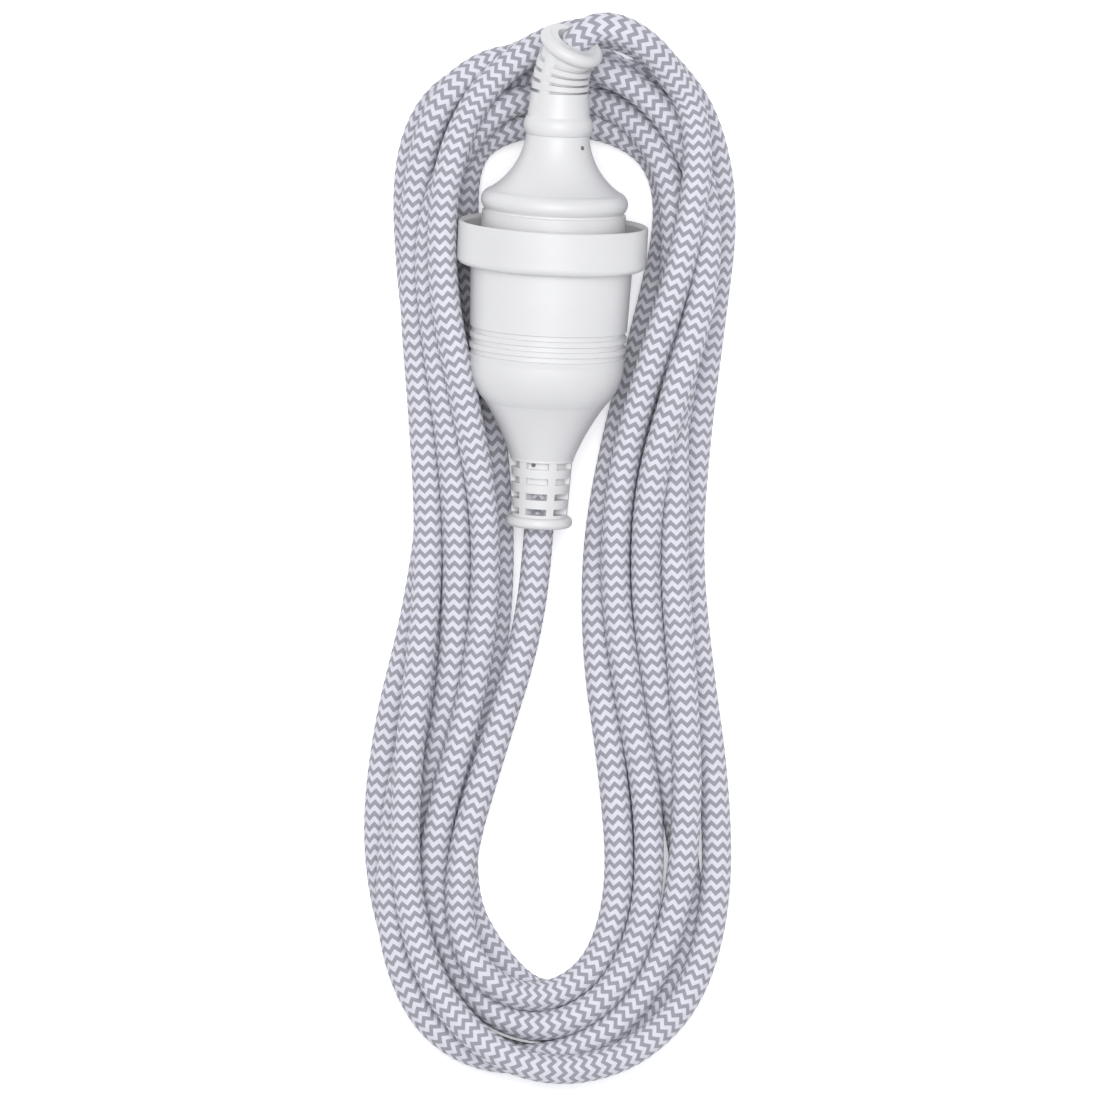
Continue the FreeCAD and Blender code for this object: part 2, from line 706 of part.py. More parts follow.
# Outlines of the hank on the surface, (x, y) going round clockwise from the top.
HANK_OUTSIDE = [
    (4, 67), (20, 67), (33, 55), (44, 38), (47, 20), (45, -9), (42, -45), (42.3, -66),
    (47.5, -97), (53, -135), (54.2, -158), (48.7, -186), (33, -203.4), (14, -209.3),
    (-13.6, -205), (-30.5, -190), (-39, -165), (-41.4, -143), (-36, -101), (-31.4, -70),
    (-34.8, -39), (-41, 2), (-42, 25), (-36, 44.5), (-20, 58),
]
HANK_INSIDE = [
    (5.6, 39.5), (16.2, 36), (24.6, 25), (26.3, 14), (22, -15), (14.3, -47), (11.7, -70),
    (13, -94), (18.4, -125), (21.8, -153), (18.7, -173), (8.7, -181.5), (-2, -174),
    (-11.3, -152), (-7, -126), (2.1, -97.5), (-5.8, -96), (-6.6, -82), (-9.8, -66), (-12.8, -47),
    (-19.3, -26), (-21.0, -15), (-23.2, 8), (-20.4, 22), (-14.5, 34.3),
]
# Where the strands lie three deep, on either side of the plug: x and y limits.
LEFT_SHOULDER = (-60.0, -25.3, -45.0, 46.0)
RIGHT_SHOULDER = (28.0, 41.0, -12.0, 20.5)
# Where they lie one deep, so that the plug draws out over them: x and y limits.
UNDER_PLUG = (-13.5, 13.5, 30.0, 56.0)


def closed_outline(points):
    curve = Part.BSplineCurve()
    curve.interpolate([FreeCAD.Vector(x, y, 0) for x, y in points], PeriodicFlag=True)
    return Part.Face(Part.Wire(curve.toShape()))


def block(limits, low, high):
    left, right, front, back = limits
    return Part.makeBox(
        right - left, back - front, high - low, FreeCAD.Vector(left, front, low))


def lead_step():
    """The part of the hank's hole that the socket's lead lies in before it joins the hank,
    cut square to the lead."""
    before, end = [FreeCAD.Vector(*bend) for bend in SOCKET_LEAD_BENDS]
    way = end - before
    way.z = 0
    way.normalize()
    place = FreeCAD.Placement(
        FreeCAD.Vector(end.x, end.y, 0), FreeCAD.Rotation(FreeCAD.Vector(0, -1, 0), way))
    room = Part.makeBox(12, 40, 40, FreeCAD.Vector(-4.6, -0.4, -1))
    room.Placement = place
    return room


def cord_hank():
    """One solid of the outer shape of the folded turns: two strands deep, three deep at the
    shoulders either side of the plug, and one deep where the plug draws out over them."""
    outside = closed_outline(HANK_OUTSIDE)
    ring = outside.cut(closed_outline(HANK_INSIDE))
    two = float(dim.two_layers)
    three = float(dim.three_layers)
    solid = ring.extrude(Z_AXIS * two)
    for limits in (LEFT_SHOULDER, RIGHT_SHOULDER):
        raised = ring.extrude(Z_AXIS * three).common(block(limits, 1.0, three + 1))
        solid = solid.fuse(raised)
    solid = solid.cut(block(UNDER_PLUG, float(dim.under_plug), 30.0))
    solid = solid.cut(lead_step()).removeSplitter()
    piece = doc.addObject("Part::Feature", "cord_hank")
    piece.Label = "cord_hank"
    piece.Shape = solid.Solids[0]
    print(f"cord_hank: {len(solid.Solids)} solid, {solid.Volume / 1000:.0f} cm3")
    keep(piece, FreeCAD.Placement())


def leads():
    radius = float(dim.cord_radius)
    socket_route = [on_axis(SOCKET_LEAD_START), on_axis(-73.5)]
    socket_route += [FreeCAD.Vector(*bend) for bend in SOCKET_LEAD_BENDS]
    tube("socket_lead", socket_route, radius)
    bend_radius = float(dim.boot_bend_radius)
    reach = bend_radius * math.tan(math.radians(float(dim.boot_bend) / 4))
    mouth = boot_place(float(dim.lip_end)).multVec(FreeCAD.Vector(bend_radius, -reach, 0))
    plug_route = [
        on_axis(PLUG_LEAD_START), on_axis(float(dim.sleeve_end) + reach), MATED.multVec(mouth)]
    plug_route += [FreeCAD.Vector(*bend) for bend in PLUG_LEAD_BENDS]
    tube("plug_lead", plug_route, radius)


# ---------------------------------------------------------------- the whole cord

plug_housing()
plug_boot()
plug_pin_carrier()
for pin in PINS:
    plug_pin(pin)
for pin in ("active", "neutral"):
    pin_sleeve(pin)
plug_crimp_start = dim.pin_root + 2.05
plug_core_start = plug_crimp_start + dim.plug_crimp - dim.crimp_hold
for pin in PINS:
    crimp(f"plug_{pin}_crimp", pin, plug_crimp_start, dim.plug_crimp)
    core(f"plug_{pin}_core", pin, plug_core_start, plug_core_start + 3.0, 24.5, 30.9)
core_spreader("plug_core_spreader", dim.neck_start - 1.3)
sheath_end("plug_sheath_end", 31.0, PLUG_LEAD_START)

socket_housing()
socket_boot()
collar_ring()
socket_face()
contact_plate()
for pin in PINS:
    contact(pin)
socket_crimp_end = -dim.back_plate_start - dim.back_plate_thick - 1.55 - dim.socket_crimp
socket_core_start = socket_crimp_end + dim.crimp_hold
for pin in PINS:
    crimp(f"socket_{pin}_crimp", pin, socket_crimp_end, dim.socket_crimp)
    core(f"socket_{pin}_core", pin, socket_core_start, socket_core_start - 3.0, -44.0, -52.9)
core_spreader("socket_core_spreader", -53.0)
sheath_end("socket_sheath_end", SOCKET_LEAD_START, -53.0)

leads()
cord_hank()

doc.recompute()
for item in doc.Objects:
    if "Invalid" in item.State or "Error" in item.State:
        raise RuntimeError(f"{item.Name} failed: {item.State}")
for piece in sub_parts:
    if piece.Shape.isNull() or not piece.Shape.isValid() or not piece.Shape.Solids:
        raise RuntimeError(f"{piece.Label} has no valid solid")

os.makedirs("parts", exist_ok=True)
for piece in sub_parts:
    piece.Shape.exportStep(f"parts/{piece.Label}.step")
print(f"{len(sub_parts)} sub-parts written")
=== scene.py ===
"""Extension cord with a braided textile cord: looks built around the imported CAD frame.

A white moulded plug sits in a white moulded line socket, and one braided cord runs from the
bent boot of the plug, through six and a half loose turns, back to the boot of the socket.
All lengths are in metres unless a name ends in _MM.
"""

import json
import math

import bmesh
import bpy
import numpy as np
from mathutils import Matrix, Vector


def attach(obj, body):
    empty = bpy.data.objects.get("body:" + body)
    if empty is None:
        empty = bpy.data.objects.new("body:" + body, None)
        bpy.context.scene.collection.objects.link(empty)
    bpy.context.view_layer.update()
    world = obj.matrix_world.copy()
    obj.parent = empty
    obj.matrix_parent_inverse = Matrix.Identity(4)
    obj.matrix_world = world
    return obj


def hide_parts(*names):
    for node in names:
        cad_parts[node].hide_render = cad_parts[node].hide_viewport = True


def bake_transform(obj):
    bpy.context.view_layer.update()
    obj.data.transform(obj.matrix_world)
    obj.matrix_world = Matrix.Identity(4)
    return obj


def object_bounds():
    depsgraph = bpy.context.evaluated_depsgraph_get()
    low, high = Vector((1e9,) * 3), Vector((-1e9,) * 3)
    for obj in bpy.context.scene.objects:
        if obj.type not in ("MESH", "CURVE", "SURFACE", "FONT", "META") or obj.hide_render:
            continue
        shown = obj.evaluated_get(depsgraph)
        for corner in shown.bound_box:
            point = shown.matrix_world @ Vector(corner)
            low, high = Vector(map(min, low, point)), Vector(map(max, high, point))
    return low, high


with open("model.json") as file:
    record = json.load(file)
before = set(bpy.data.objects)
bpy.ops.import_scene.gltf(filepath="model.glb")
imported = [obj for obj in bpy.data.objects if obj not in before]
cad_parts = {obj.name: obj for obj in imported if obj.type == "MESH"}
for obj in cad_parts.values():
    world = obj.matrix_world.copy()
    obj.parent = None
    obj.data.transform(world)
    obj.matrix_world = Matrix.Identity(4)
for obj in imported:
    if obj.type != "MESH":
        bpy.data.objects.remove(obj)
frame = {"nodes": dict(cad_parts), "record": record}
cad_low, cad_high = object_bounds()

MM = 0.001


def metres(*lengths_mm):
    """Lengths in millimetres as a tuple in metres."""
    return tuple(length * MM for length in lengths_mm)


def place(name, data):
    """A new object in the scene with that data."""
    holder = bpy.data.objects.new(name, data)
    bpy.context.scene.collection.objects.link(holder)
    return holder


# ---------------------------------------------------------------- the cord's route
# Control points of one NURBS spline, in millimetres, from the plug to the socket. Not all are
# chosen one by one: the first 10 were listed and 70 more were set or moved one by one, but the
# other 106 are the rounded output of a relaxation and spline fit.
ROUTE_MM = [
    # out through the bent boot of the plug
    (0.0, 46.1, 30.0), (0.0, 49.6, 30.5), (0.5, 54.4, 31.6), (2.0, 58.8, 33.4),
    (4.6, 62.9, 35.7), (9.2, 65.3, 37.1),
    # down the right side on top of the others, and round the bottom
    (14.2, 65.1, 37.0), (19.3, 62.9, 35.6), (24.2, 59.3, 33.0), (28.3, 54.3, 29.3),
    (33.9, 47.8, 25.7), (37.1, 32.4, 25.4), (34.1, 7.9, 25.6), (26.8, -20.5, 22.6),
    (20.7, -46.6, 16.8), (19.7, -75.1, 13.6), (24.9, -104.7, 13.5), (32.2, -134.3, 13.2),
    (33.3, -162.3, 13.2), (26.4, -181.4, 13.5), (15.8, -190.7, 13.3), (4.1, -193.7, 12.8),
    (-7.4, -189.3, 11.4),
    # down the right side, innermost, and round the bottom
    (-16.9, -176.6, 11.1), (-23.0, -159.3, 11.4),
    # up the left side, third from the outside, and over the top
    (-22.6, -141.3, 12.8), (-17.2, -118.8, 14.2), (-12.7, -90.5, 14.7), (-13.7, -60.3, 16.9),
    (-20.8, -31.7, 21.7), (-28.2, -3.4, 25.0), (-28.9, 24.9, 23.7), (-21.6, 47.2, 15.7),
    (-8.4, 59.8, 17.4), (4.6, 64.8, 20.6), (16.2, 64.0, 20.4), (27.2, 57.6, 16.2),
    # down the right side, outermost, and round the bottom
    (38.7, 43.7, 12.9), (44.2, 20.0, 9.1), (42.0, -8.9, 4.7), (39.6, -38.9, 3.9),
    (38.9, -68.8, 4.0), (43.3, -98.5, 3.9), (49.0, -128.3, 4.9), (51.1, -158.0, 7.8),
    (46.0, -182.3, 10.6), (34.2, -196.8, 13.3), (19.6, -203.4, 16.7), (4.7, -203.6, 19.3),
    (-9.6, -197.3, 18.9), (-22.7, -182.3, 18.2),
    # up the left side, second from the outside, and over the top
    (-30.4, -156.8, 18.1), (-31.0, -126.7, 16.5), (-28.6, -97.1, 13.0), (-28.0, -67.3, 11.0),
    (-31.1, -37.5, 10.9), (-35.1, -7.3, 10.9), (-36.5, 22.8, 11.3), (-31.6, 44.6, 14.0),
    # up the left side, underneath, and over the top
    (-21.0, 55.1, 11.0), (-9.0, 57.8, 10.6), (1.4, 60.0, 12.8), (10.0, 55.5, 17.8),
    (20.6, 50.8, 17.8), (30.7, 41.2, 17.2),
    # down the right side, second from the outside
    (39.4, 25.0, 17.8), (40.3, -0.3, 21.6), (33.5, -28.2, 24.5), (27.9, -51.7, 20.4),
    (28.1, -78.7, 14.8), (33.1, -108.3, 11.1), (39.2, -135.3, 7.4), (44.2, -158.8, 3.9),
    (42.4, -177.8, 3.9), (32.3, -192.4, 3.9), (17.2, -201.1, 3.9), (0.5, -202.1, 3.9),
    (-16.8, -194.4, 3.9), (-31.5, -176.1, 3.9),
    # up the left side, outermost, and over the top
    (-38.4, -148.4, 3.9), (-36.8, -117.9, 3.9), (-30.6, -88.3, 3.9), (-27.6, -58.8, 3.9),
    (-31.0, -29.0, 3.9), (-36.6, 1.0, 3.9), (-38.9, 28.7, 3.9), (-33.0, 46.0, 3.9),
    (-20.0, 53.8, 3.9), (-3.1, 62.0, 3.9), (13.5, 57.6, 3.9), (26.9, 44.3, 5.4),
    (34.8, 25.8, 10.8),
    # down the right side, underneath
    (37.6, 1.6, 11.7), (35.2, -26.1, 9.2), (31.7, -55.6, 6.5), (30.8, -85.1, 4.3),
    (31.6, -113.2, 3.9), (32.4, -138.8, 3.9), (33.0, -161.6, 3.9), (28.6, -180.0, 3.9),
    (18.6, -191.8, 3.9), (5.9, -194.2, 3.9), (-7.0, -190.3, 3.9), (-18.8, -179.4, 3.9),
    (-25.8, -160.2, 3.9),
    # up the left side, innermost of the upper layer, and over the top
    (-24.8, -134.9, 5.4), (-20.7, -107.5, 9.9), (-20.0, -77.6, 12.5), (-22.9, -47.4, 14.6),
    (-28.7, -18.1, 16.9), (-32.5, 7.0, 17.9), (-29.0, 25.1, 15.8), (-22.2, 37.2, 12.0),
    (-13.6, 46.2, 10.6), (-3.0, 47.2, 6.8), (10.4, 48.0, 6.8), (21.1, 41.9, 10.8),
    # down the right side, in the middle of the upper layer
    (28.8, 30.2, 16.1), (31.9, 15.2, 17.7), (31.8, -2.7, 16.8), (32.6, -22.5, 16.5),
    (34.3, -45.2, 15.2), (35.5, -73.3, 14.2), (39.5, -103.5, 14.8), (42.3, -133.6, 14.3),
    (40.7, -163.4, 11.7), (32.3, -186.1, 10.3), (17.9, -198.1, 11.1), (1.6, -202.5, 11.6),
    (-13.2, -200.3, 11.2), (-25.5, -190.4, 11.5), (-33.6, -170.1, 11.9), (-34.0, -141.5, 10.3),
    (-28.6, -111.6, 6.7), (-22.0, -81.6, 4.3), (-20.6, -51.3, 3.9), (-24.2, -21.7, 3.9),
    (-29.4, 5.9, 4.1), (-31.0, 29.0, 4.4), (-25.6, 42.6, 3.9), (-14.8, 48.8, 3.9),
    (-3.8, 54.4, 3.9), (8.4, 54.4, 10.2), (21.5, 54.9, 12.0), (31.6, 50.4, 7.0),
    (38.0, 37.8, 3.9), (38.1, 17.4, 3.9),
    # down the right side, underneath, and round the bottom
    (33.6, -8.8, 3.9), (26.9, -38.0, 3.9), (23.2, -68.8, 3.9), (24.0, -99.5, 3.9),
    (25.3, -128.0, 3.9), (25.8, -153.4, 3.9), (23.2, -172.0, 3.9), (15.6, -183.6, 3.9),
    (5.0, -185.6, 3.9), (-5.6, -176.6, 3.9), (-15.6, -161.0, 3.9),
    # up the left side, innermost, and over the top
    (-15.0, -132.8, 3.9), (-10.4, -102.0, 3.9), (-9.3, -71.6, 3.9), (-13.0, -40.9, 3.9),
    (-18.6, -10.2, 3.9), (-23.9, 16.1, 3.9), (-23.0, 32.6, 3.9), (-13.6, 39.6, 3.9),
    (1.6, 42.2, 3.9), (16.8, 40.0, 3.9), (26.9, 32.5, 3.9), (30.4, 17.8, 3.9),
    (25.9, -8.2, 3.9), (19.1, -38.2, 3.9), (15.1, -68.0, 5.5), (16.7, -97.3, 9.1),
    (22.4, -126.1, 11.8), (26.1, -154.5, 11.6), (22.2, -173.9, 11.1), (13.6, -183.4, 11.8),
    (2.0, -186.0, 14.4), (-8.8, -181.0, 18.2), (-15.2, -170.0, 17.8),
    # up the middle to the socket
    (-16.3, -150.5, 16.2), (-9.4, -122.2, 12.6), (-1.4, -92.0, 11.9),
    # into the boot of the socket
    (0.4, -64.1, 14.3), (0.0, -48.9, 16.7),
]

POINTS_PER_SPAN = 24  # read from the spline between control points
SAME_POINT = 1e-7  # points nearer than this are one point
STRAIGHT = 1e-18  # squared change of direction below which nothing turns
SPLIT_Y_MM = -120.0  # where the plug's end of the cord joins the rest, going down


def spline_points(name, control_mm):
    """Points along the NURBS spline with those control points, close together."""
    curve = bpy.data.curves.new(name, "CURVE")
    curve.dimensions = "3D"
    curve.resolution_u = POINTS_PER_SPAN
    spline = curve.splines.new("NURBS")
    spline.points.add(len(control_mm) - 1)
    for point, (x, y, z) in zip(spline.points, control_mm):
        point.co = (x * MM, y * MM, z * MM, 1.0)
    spline.order_u = 3
    spline.use_endpoint_u = True
    holder = place(name, curve)
    bpy.context.view_layer.update()
    line = bpy.data.meshes.new_from_object(holder)
    points = np.empty(len(line.vertices) * 3)
    line.vertices.foreach_get("co", points)
    bpy.data.objects.remove(holder)
    bpy.data.meshes.remove(line)
    bpy.data.curves.remove(curve)
    return points.reshape(-1, 3)


class Line:
    """A curve in space with a sideways direction at each point that never twists."""

    def __init__(self, points):
        steps = np.linalg.norm(np.diff(points, axis=0), axis=1)
        keep = np.r_[True, steps > SAME_POINT]
        self.points = points[keep]
        steps = np.linalg.norm(np.diff(self.points, axis=0), axis=1)
        self.along = np.r_[0.0, np.cumsum(steps)]
        tangents = np.gradient(self.points, self.along, axis=0)
        self.tangents = tangents / np.linalg.norm(tangents, axis=1)[:, None]
        self.sides = self._sides()

    def _sides(self):
        """Rotation-minimising side vectors, by double reflection."""
        side = np.cross(self.tangents[0], (0.0, 0.0, 1.0))
        side /= np.linalg.norm(side)
        sides = [side]
        for i in range(len(self.points) - 1):
            v1 = self.points[i + 1] - self.points[i]
            c1 = v1 @ v1
            side_l = side - (2 / c1) * (v1 @ side) * v1
            tangent_l = self.tangents[i] - (2 / c1) * (v1 @ self.tangents[i]) * v1
            v2 = self.tangents[i + 1] - tangent_l
            c2 = v2 @ v2
            if c2 > STRAIGHT:
                side_l = side_l - (2 / c2) * (v2 @ side_l) * v2
            side = side_l / np.linalg.norm(side_l)
            sides.append(side)
        return np.array(sides)

    @property
    def length(self):
        return self.along[-1]

    def at(self, distances):
        """Centres, tangents and side vectors at those distances along the line."""
        def read(values):
            columns = [np.interp(distances, self.along, values[:, k]) for k in range(3)]
            return np.stack(columns, -1)

        centres, tangents, sides = map(read, (self.points, self.tangents, self.sides))
        tangents /= np.linalg.norm(tangents, axis=-1, keepdims=True)
        sides -= (sides * tangents).sum(-1, keepdims=True) * tangents
        sides /= np.linalg.norm(sides, axis=-1, keepdims=True)
        return centres, tangents, sides


# ---------------------------------------------------------------- materials
def principled(name):
    """A new material with nodes: the material, its node tree and its shader."""
    material = bpy.data.materials.new(name)
    material.use_nodes = True
    tree = material.node_tree
    return material, tree, tree.nodes["Principled BSDF"]


def add(tree, kind, **values):
    """A new node with those settings; names of inputs have spaces for underscores."""
    node = tree.nodes.new(kind)
    for name, value in values.items():
        if name.startswith("in_"):
            node.inputs[name[3:].replace("_", " ")].default_value = value
        else:
            setattr(node, name, value)
    return node


def noise(tree, source, scale, detail=2.0):
    node = add(tree, "ShaderNodeTexNoise", in_Scale=scale, in_Detail=detail)
    tree.links.new(source, node.inputs["Vector"])
    return node.outputs["Fac"]


def ramp(tree, source, low, high, start=0.35, end=0.65):
    """A colour that runs from low to high as the source goes from start to end."""
    node = add(tree, "ShaderNodeValToRGB")
    first, last = node.color_ramp.elements
    first.position, last.position = start, end
    first.color, last.color = (*low, 1.0), (*high, 1.0)
    tree.links.new(source, node.inputs["Fac"])
    return node.outputs["Color"]


def spread(tree, source, low, high):
    """The source, from 0 to 1, brought to low to high."""
    node = add(tree, "ShaderNodeMapRange", in_To_Min=low, in_To_Max=high)
    tree.links.new(source, node.inputs["Value"])
    return node.outputs["Result"]


def object_space(tree):
    return add(tree, "ShaderNodeTexCoord").outputs["Object"]


def bump(tree, height, distance, strength, under=None):
    node = add(tree, "ShaderNodeBump", in_Distance=distance, in_Strength=strength)
    tree.links.new(height, node.inputs["Height"])
    if under is not None:
        tree.links.new(under, node.inputs["Normal"])
    return node.outputs["Normal"]


def shades(colour, change):
    """A little darker and a little lighter than a colour."""
    return [tuple(min(1.0, c * k) for c in colour) for k in (1 - change, 1 + change)]


# Noise scales of a moulding, per metre, and the depth of its bumps
FLOW, HAZE, GRAIN, RIPPLE = 55.0, 160.0, 900.0, 120.0
GRAIN_DEPTH, RIPPLE_DEPTH = metres(0.02, 0.05)


def moulded(name, colour, roughness, change=0.02):
    """Moulded plastic: faint flow marks in the colour, a fine grain and a soft gloss."""
    material, tree, shader = principled(name)
    spot = object_space(tree)
    flow = noise(tree, spot, FLOW, 3.0)
    tree.links.new(ramp(tree, flow, *shades(colour, change)), shader.inputs["Base Color"])
    gloss = spread(tree, noise(tree, spot, HAZE), roughness - 0.05, roughness + 0.05)
    tree.links.new(gloss, shader.inputs["Roughness"])
    grain = bump(tree, noise(tree, spot, GRAIN), GRAIN_DEPTH, 0.5)
    ripple = bump(tree, noise(tree, spot, RIPPLE, 1.0), RIPPLE_DEPTH, 0.4, grain)
    tree.links.new(ripple, shader.inputs["Normal"])
    return material


# Metal: noise scales per metre across and along the drawing direction, and of the tarnish
STREAKS, TARNISH = (2200.0, 90.0, 2200.0), 220.0
STREAK_DEPTH = 0.01 * MM


def metal(name, colour, roughness):
    """Drawn and stamped metal: streaks along the part and faint tarnish."""
    material, tree, shader = principled(name)
    spot = object_space(tree)
    stretch = add(tree, "ShaderNodeMapping", in_Scale=STREAKS)
    tree.links.new(spot, stretch.inputs["Vector"])
    streaks = noise(tree, stretch.outputs["Vector"], 1.0, 3.0)
    tarnish = ramp(tree, noise(tree, spot, TARNISH, 3.0), *shades(colour, 0.08))
    tree.links.new(tarnish, shader.inputs["Base Color"])
    gloss = spread(tree, streaks, roughness - 0.08, roughness + 0.1)
    tree.links.new(gloss, shader.inputs["Roughness"])
    tree.links.new(bump(tree, streaks, STREAK_DEPTH, 0.4), shader.inputs["Normal"])
    shader.inputs["Metallic"].default_value = 1.0
    return material


# Yarn: noise scales per metre, bump depths, and each pattern's share of the colour
DYE, WEAR, FUZZ = 420.0, 38.0, 2600.0
THREAD_SHARE, DYE_SHARE, WEAR_SHARE = 0.45, 0.35, 0.2
THREAD_DEPTH, FUZZ_DEPTH = metres(0.06, 0.03)
THREAD_LEAN = math.radians(24)


def scaled(tree, source, share, plus=None):
    """The source times a share, with another value added if there is one."""
    kind = "MULTIPLY" if plus is None else "MULTIPLY_ADD"
    node = add(tree, "ShaderNodeMath", operation=kind)
    node.inputs[1].default_value = share
    tree.links.new(source, node.inputs[0])
    if plus is not None:
        tree.links.new(plus, node.inputs[2])
    return node.outputs["Value"]


def yarn(name, colour, change):
    """Braided textile yarn: fine threads slanting across each band, and a little fuzz.

    The cord's own UV map runs from one point of a zigzag to the next and along the cord, one
    unit a band, so the threads lean one way on one flank and the other way on the next.
    """
    material, tree, shader = principled(name)
    uv = add(tree, "ShaderNodeUVMap", uv_map="braid").outputs["UV"]
    spot = object_space(tree)
    lean = add(tree, "ShaderNodeMapping", in_Scale=(1.1, 1.1, 1.0))
    lean.inputs["Rotation"].default_value = (0.0, 0.0, THREAD_LEAN)
    tree.links.new(uv, lean.inputs["Vector"])
    wave = add(
        tree, "ShaderNodeTexWave", wave_type="BANDS", bands_direction="X",
        in_Scale=1.0, in_Distortion=0.6, in_Detail=1.0, in_Detail_Scale=1.5,
    )
    tree.links.new(lean.outputs["Vector"], wave.inputs["Vector"])
    threads = wave.outputs["Fac"]
    dye = noise(tree, spot, DYE, 3.0)
    dyed = scaled(tree, threads, THREAD_SHARE, plus=scaled(tree, dye, DYE_SHARE))
    worn = scaled(tree, noise(tree, spot, WEAR), WEAR_SHARE, plus=dyed)
    shade = ramp(tree, worn, *shades(colour, change), 0.2, 0.8)
    tree.links.new(shade, shader.inputs["Base Color"])
    tree.links.new(spread(tree, dye, 0.75, 0.95), shader.inputs["Roughness"])
    fuzz = bump(tree, noise(tree, spot, FUZZ), FUZZ_DEPTH, 0.5)
    twist = bump(tree, threads, THREAD_DEPTH, 0.6, fuzz)
    tree.links.new(twist, shader.inputs["Normal"])
    shader.inputs["Sheen Weight"].default_value = 0.12
    shader.inputs["Sheen Roughness"].default_value = 0.5
    shader.inputs["Specular IOR Level"].default_value = 0.25
    return material


WHITE = moulded("moulding white", (0.69, 0.687, 0.693), 0.42)
FACE = moulded("face white", (0.62, 0.62, 0.63), 0.42)
INNER = moulded("inner grey", (0.48, 0.48, 0.49), 0.5)
SLEEVE = moulded("sleeve black", (0.03, 0.03, 0.032), 0.45, 0.12)
CORE_BROWN = moulded("core brown", (0.16, 0.062, 0.03), 0.42, 0.06)
CORE_BLUE = moulded("core blue", (0.03, 0.13, 0.42), 0.42, 0.06)
CORE_GREEN = moulded("core green", (0.10, 0.36, 0.06), 0.42, 0.06)
BRASS = metal("contact brass", (0.78, 0.58, 0.27), 0.28)
STEEL = metal("crimp steel", (0.62, 0.62, 0.63), 0.34)
YARN_GREY = yarn("yarn grey", (0.33, 0.327, 0.37), 0.10)
YARN_WHITE = yarn("yarn white", (0.70, 0.70, 0.77), 0.05)
MARK = moulded("pin mark", (0.15, 0.15, 0.16), 0.6, 0.1)

FINISHES = {
    "white_moulding": WHITE,
    "face_plastic": FACE,
    "inner_plastic": INNER,
    "sleeve_plastic": SLEEVE,
    "core_brown": CORE_BROWN,
    "core_blue": CORE_BLUE,
    "core_green": CORE_GREEN,
    "contact_brass": BRASS,
    "crimp_steel": STEEL,
    "braid": YARN_WHITE,
}


def dress_cad_nodes():
    """Each CAD node takes the finish of its slot in the record."""
    slot_of = {part["node"]: part["material_slot"] for part in frame["record"]["subparts"]}
    for name, node in frame["nodes"].items():
        node.data.materials.clear()
        node.data.materials.append(FINISHES[slot_of[name]])


# ---------------------------------------------------------------- the braid
PERIOD = 2.85 * MM  # one grey and one white band
GREY_SHARE = 0.49  # of a period
ZIGZAGS = 8  # round the cord
ZIGZAG_HEIGHT = 1.42 * MM
RING = ZIGZAGS * 4
ROWS = 4  # rings a period: an edge and a crest for each colour
CREST, GROOVE = 3.87 * MM, 3.74 * MM  # radii of a band's crest and of the groove beside it
ROW_SHARE = np.array([0.0, GREY_SHARE / 2, GREY_SHARE, (1 + GREY_SHARE) / 2])
ROW_RADIUS = np.array([GROOVE, CREST, GROOVE, CREST])
GREY_ROWS = (0, 1)  # rows whose faces are grey
AROUND = np.arange(RING)
ANGLES = 2 * math.pi * AROUND / RING
WAVE = np.array([0.0, 0.5, 0.0, -0.5])[AROUND % 4] * ZIGZAG_HEIGHT
FLANK = np.array([0.0, 1.0, 0.0, -1.0])[AROUND % 4]
DIP = np.where(AROUND % 2 == 1, 0.035 * MM, 0.0)  # the yarns cross at each point
PATH_STEP = 2 * MM


def braid_rings(start, end, joined_start, joined_end):
    """For each ring: its points' distances along the line, radius, row and own distance."""
    first = round(start / PERIOD) if joined_start else math.ceil(start / PERIOD + 0.5)
    last = round(end / PERIOD) if joined_end else math.floor(end / PERIOD - 0.5)
    count = np.arange(first * ROWS, last * ROWS + 1)
    band = count % ROWS
    distances = (count // ROWS + ROW_SHARE[band]) * PERIOD
    radii = ROW_RADIUS[band]
    places = distances[:, None] + WAVE[None, :]
    if not joined_start:
        places = np.vstack([np.full(RING, start), places])
        radii = np.r_[GROOVE, radii]
        band = np.r_[ROWS - 1, band]
        distances = np.r_[start, distances]
    if not joined_end:
        places = np.vstack([places, np.full(RING, end)])
        radii = np.r_[radii, GROOVE]
        distances = np.r_[distances, end]
    return places, radii, band, distances


def braid_vertices(line, places, radii):
    centres, tangents, sides = line.at(places)
    ups = np.cross(tangents, sides)
    reach = (radii[:, None] - DIP[None, :])[..., None]
    across = np.cos(ANGLES)[None, :, None] * sides + np.sin(ANGLES)[None, :, None] * ups
    return (centres + across * reach).reshape(-1, 3)


def braid_faces(rows):
    """Quads between neighbouring rings, and a disc on each end."""
    ring_start = np.arange(rows - 1)[:, None] * RING
    low = (ring_start + AROUND[None, :]).ravel()
    turn = (ring_start + (AROUND[None, :] + 1) % RING).ravel()
    quads = np.stack([low, turn, turn + RING, low + RING], -1)
    top = (rows - 1) * RING
    return quads.tolist() + [list(range(RING))[::-1], [top + k for k in range(RING)]]


def map_braid(mesh, distances):
    """UV: across one flank and back on the next, and two units along for each period."""
    layer = mesh.uv_layers.new(name="braid")
    along = distances / PERIOD * 2
    uv = np.stack(np.broadcast_arrays(FLANK[None, :], along[:, None]), -1).reshape(-1, 2)
    loops = np.empty(len(mesh.loops), np.int32)
    mesh.loops.foreach_get("vertex_index", loops)
    layer.data.foreach_set("uv", uv[loops].astype(np.float32).ravel())


